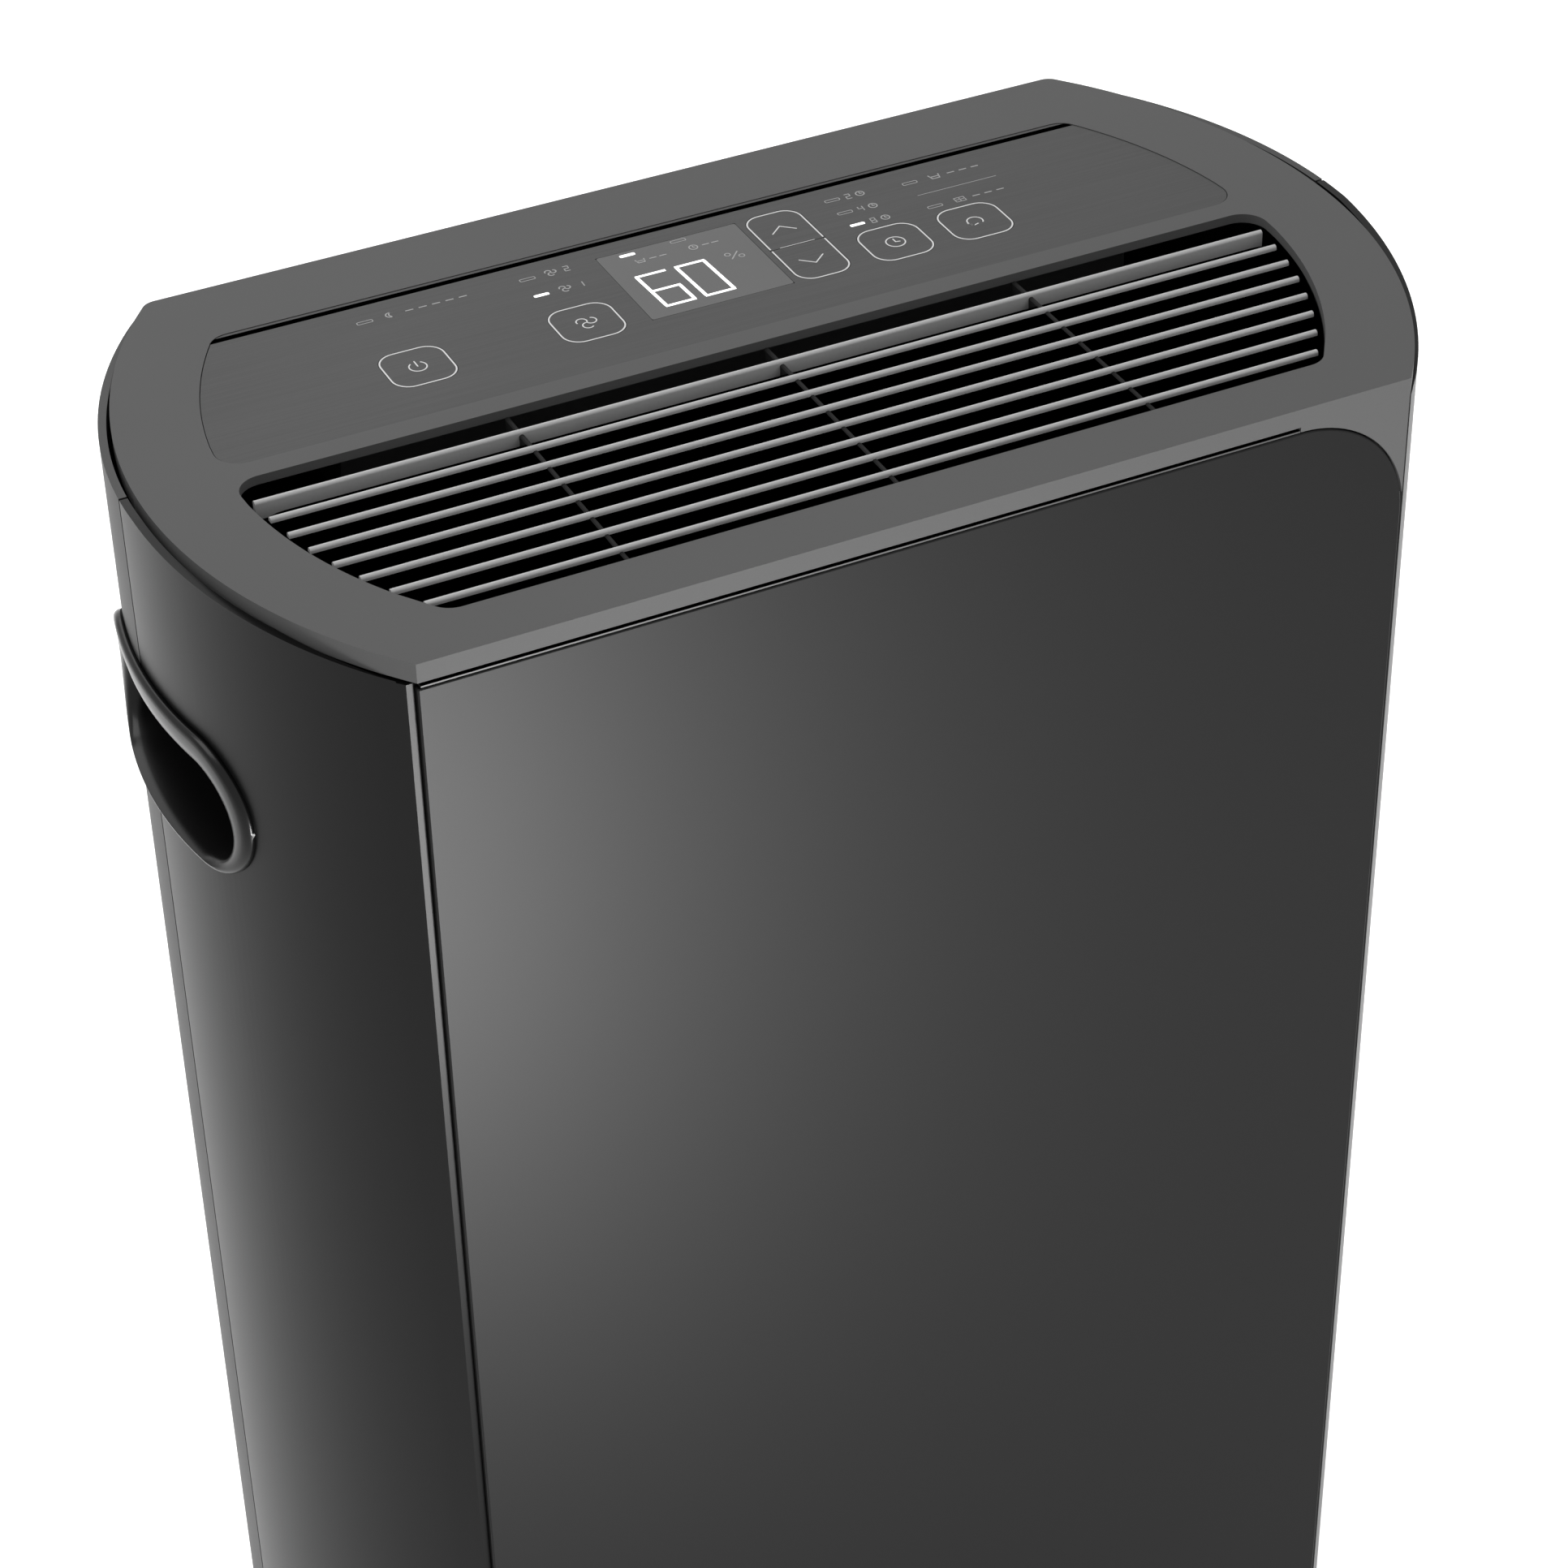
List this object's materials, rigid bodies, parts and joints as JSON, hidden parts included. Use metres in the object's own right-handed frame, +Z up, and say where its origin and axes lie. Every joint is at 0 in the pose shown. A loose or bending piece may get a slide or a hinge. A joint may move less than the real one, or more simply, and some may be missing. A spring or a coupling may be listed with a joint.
{
  "type": "dehumidifier",
  "caption": "Upright dehumidifier with bowed sides, top outlet grille and touch controls, side handles, rear filter and pull-out water bucket, on four castors.",
  "frame": {"origin": "on the floor under the middle of the body, where the four castors stand", "axes": "+X to the right seen from the front, +Y towards the back, +Z up"},
  "size_m": [0.4076, 0.218, 0.64],
  "materials": {
    "cover_grey": "fine matt texture",
    "grille_grey": "satin",
    "panel_metal": "satin metallic graphite",
    "gloss_black": "high gloss",
    "rear_black": "fine matt texture",
    "base_black": "fine matt texture",
    "handle_black": "high gloss",
    "brushed_dark": "brushed along the width",
    "smoked_window": "smoked, gloss",
    "light_pipe": "translucent white",
    "inner_plastic": "moulded",
    "board_green": "solder resist",
    "mesh_grey": "woven nylon net",
    "fin_aluminium": "thin rolled fin stock",
    "copper": "bare copper tube",
    "steel_bright": "zinc plated",
    "compressor_black": "black enamel",
    "soft_rubber": "soft black rubber",
    "float_foam": "foamed white",
    "white_plastic": "moulded",
    "castor_grey": "moulded nylon",
    "castor_tread": "hard tread"
  },
  "bodies": {
    "body": {"base_pan": "base_black", "front_cabinet": "gloss_black", "rear_cabinet": "rear_black", "top_cover": "cover_grey", "outlet_grille": "grille_grey", "front_panel": "panel_metal", "front_carrier": "inner_plastic", "handle_left": "handle_black", "handle_right": "handle_black", "control_overlay": "brushed_dark", "display_window": "smoked_window", "indicator_lenses": "light_pipe", "control_tray": "inner_plastic", "control_board": "board_green", "display_module": "inner_plastic", "evaporator_fins": "fin_aluminium", "evaporator_tubes": "copper", "condenser_fins": "fin_aluminium", "condenser_tubes": "copper", "coil_frame": "inner_plastic", "bulkhead": "inner_plastic", "blower_scroll": "inner_plastic", "fan_motor": "steel_bright", "outlet_duct": "inner_plastic", "compressor": "compressor_black", "compressor_grommets": "soft_rubber", "accumulator": "compressor_black", "suction_pipe": "copper", "discharge_pipe": "copper", "capillary_and_drier": "copper", "condensate_tray": "inner_plastic", "level_sensor": "white_plastic", "cord_gland": "soft_rubber", "electrics_box": "white_plastic", "run_capacitor": "white_plastic", "humidity_sensor": "board_green", "cabinet_screws": "steel_bright"},
    "bucket": {"bucket": "rear_black"},
    "float": {"float_arm": "float_foam"},
    "filter": {"filter_frame": "rear_black", "filter_mesh": "mesh_grey"},
    "blower": {"blower_wheel": "inner_plastic", "motor_shaft": "steel_bright"},
    "drain_door": {"drain_door": "rear_black"},
    "key_power": {"key_power": "brushed_dark"},
    "key_fan": {"key_fan": "brushed_dark"},
    "key_up": {"key_up": "brushed_dark"},
    "key_down": {"key_down": "brushed_dark"},
    "key_timer": {"key_timer": "brushed_dark"},
    "key_reset": {"key_reset": "brushed_dark"},
    "castor_fl": {"castor_fork_fl": "castor_grey"},
    "wheel_fl": {"castor_wheel_fl": "castor_tread"},
    "castor_fr": {"castor_fork_fr": "castor_grey"},
    "wheel_fr": {"castor_wheel_fr": "castor_tread"},
    "castor_rl": {"castor_fork_rl": "castor_grey"},
    "wheel_rl": {"castor_wheel_rl": "castor_tread"},
    "castor_rr": {"castor_fork_rr": "castor_grey"},
    "wheel_rr": {"castor_wheel_rr": "castor_tread"}
  },
  "joints": [
    {"name": "bucket_slide", "type": "slide", "parent": "body", "child": "bucket", "axis": [0, 1, 0], "range_m": [0, 0.25]},
    {"name": "float_lift", "type": "hinge", "parent": "bucket", "child": "float", "pos_m": [0.06, 0.032, 0.208], "axis": [1, 0, 0], "range_deg": [0, 14]},
    {"name": "filter_pull", "type": "slide", "parent": "body", "child": "filter", "axis": [0, 1, 0], "range_m": [0, 0.15]},
    {"name": "blower_spin", "type": "hinge", "parent": "body", "child": "blower", "pos_m": [0, -0.02, 0.376], "axis": [0, 1, 0], "continuous": true},
    {"name": "drain_door_swing", "type": "hinge", "parent": "body", "child": "drain_door", "pos_m": [0.115, 0.1068, 0.2633], "axis": [1, 0, 0], "range_deg": [0, 90]},
    {"name": "key_power_press", "type": "slide", "parent": "body", "child": "key_power", "axis": [0, 0, -1], "range_m": [0, 0.0006], "stiffness_N_per_m": 1500, "springref_m": -0.0006},
    {"name": "key_fan_press", "type": "slide", "parent": "body", "child": "key_fan", "axis": [0, 0, -1], "range_m": [0, 0.0006], "stiffness_N_per_m": 1500, "springref_m": -0.0006},
    {"name": "key_up_press", "type": "slide", "parent": "body", "child": "key_up", "axis": [0, 0, -1], "range_m": [0, 0.0006], "stiffness_N_per_m": 1500, "springref_m": -0.0006},
    {"name": "key_down_press", "type": "slide", "parent": "body", "child": "key_down", "axis": [0, 0, -1], "range_m": [0, 0.0006], "stiffness_N_per_m": 1500, "springref_m": -0.0006},
    {"name": "key_timer_press", "type": "slide", "parent": "body", "child": "key_timer", "axis": [0, 0, -1], "range_m": [0, 0.0006], "stiffness_N_per_m": 1500, "springref_m": -0.0006},
    {"name": "key_reset_press", "type": "slide", "parent": "body", "child": "key_reset", "axis": [0, 0, -1], "range_m": [0, 0.0006], "stiffness_N_per_m": 1500, "springref_m": -0.0006},
    {"name": "castor_fl_swivel", "type": "hinge", "parent": "body", "child": "castor_fl", "pos_m": [-0.135, -0.072, 0.046], "axis": [0, 0, 1], "continuous": true},
    {"name": "castor_fl_roll", "type": "hinge", "parent": "castor_fl", "child": "wheel_fl", "pos_m": [-0.135, -0.063, 0.015], "axis": [1, 0, 0], "continuous": true},
    {"name": "castor_fr_swivel", "type": "hinge", "parent": "body", "child": "castor_fr", "pos_m": [0.135, -0.072, 0.046], "axis": [0, 0, 1], "continuous": true},
    {"name": "castor_fr_roll", "type": "hinge", "parent": "castor_fr", "child": "wheel_fr", "pos_m": [0.135, -0.063, 0.015], "axis": [1, 0, 0], "continuous": true},
    {"name": "castor_rl_swivel", "type": "hinge", "parent": "body", "child": "castor_rl", "pos_m": [-0.135, 0.072, 0.046], "axis": [0, 0, 1], "continuous": true},
    {"name": "castor_rl_roll", "type": "hinge", "parent": "castor_rl", "child": "wheel_rl", "pos_m": [-0.135, 0.081, 0.015], "axis": [1, 0, 0], "continuous": true},
    {"name": "castor_rr_swivel", "type": "hinge", "parent": "body", "child": "castor_rr", "pos_m": [0.135, 0.072, 0.046], "axis": [0, 0, 1], "continuous": true},
    {"name": "castor_rr_roll", "type": "hinge", "parent": "castor_rr", "child": "wheel_rr", "pos_m": [0.135, 0.081, 0.015], "axis": [1, 0, 0], "continuous": true}
  ]
}
